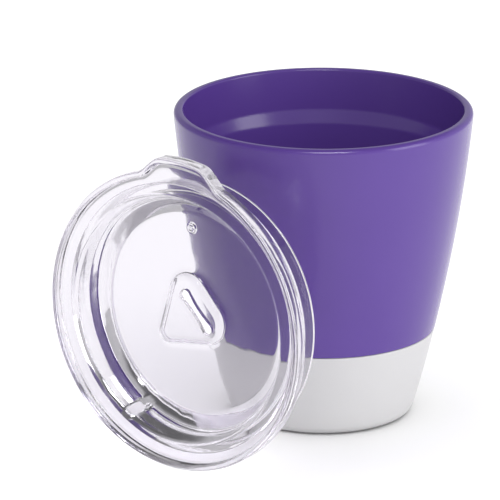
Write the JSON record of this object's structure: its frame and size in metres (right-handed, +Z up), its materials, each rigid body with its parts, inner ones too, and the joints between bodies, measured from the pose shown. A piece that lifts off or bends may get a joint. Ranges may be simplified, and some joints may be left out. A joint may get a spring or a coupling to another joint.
{
  "type": "toddler drinking cup with press-in lid",
  "caption": "Small tapered tumbler with a moulded lower shell and a clear press-in lid, which has a thumb tab, a recessed well, a drinking slot and a vent.",
  "frame": {"origin": "centre of the cup's underside, on the surface that the cup stands on", "axes": "+Z up along the cup's axis; the lid stands beside the cup towards -X and -Y"},
  "size_m": [0.1166, 0.1195, 0.0885],
  "materials": {
    "purple_plastic": "satin gloss moulded polypropylene, opaque purple",
    "white_plastic": "satin moulded plastic, opaque white",
    "clear_plastic": "polished clear moulded plastic"
  },
  "bodies": {
    "cup": {"cup_body": "purple_plastic", "base_shell": "white_plastic"},
    "lid": {"lid": "clear_plastic"}
  },
  "joints": [
    {"name": "lid_lift", "type": "slide", "parent": "cup", "child": "lid", "axis": [0, 0, 1], "range_m": [0, 0.12]}
  ]
}
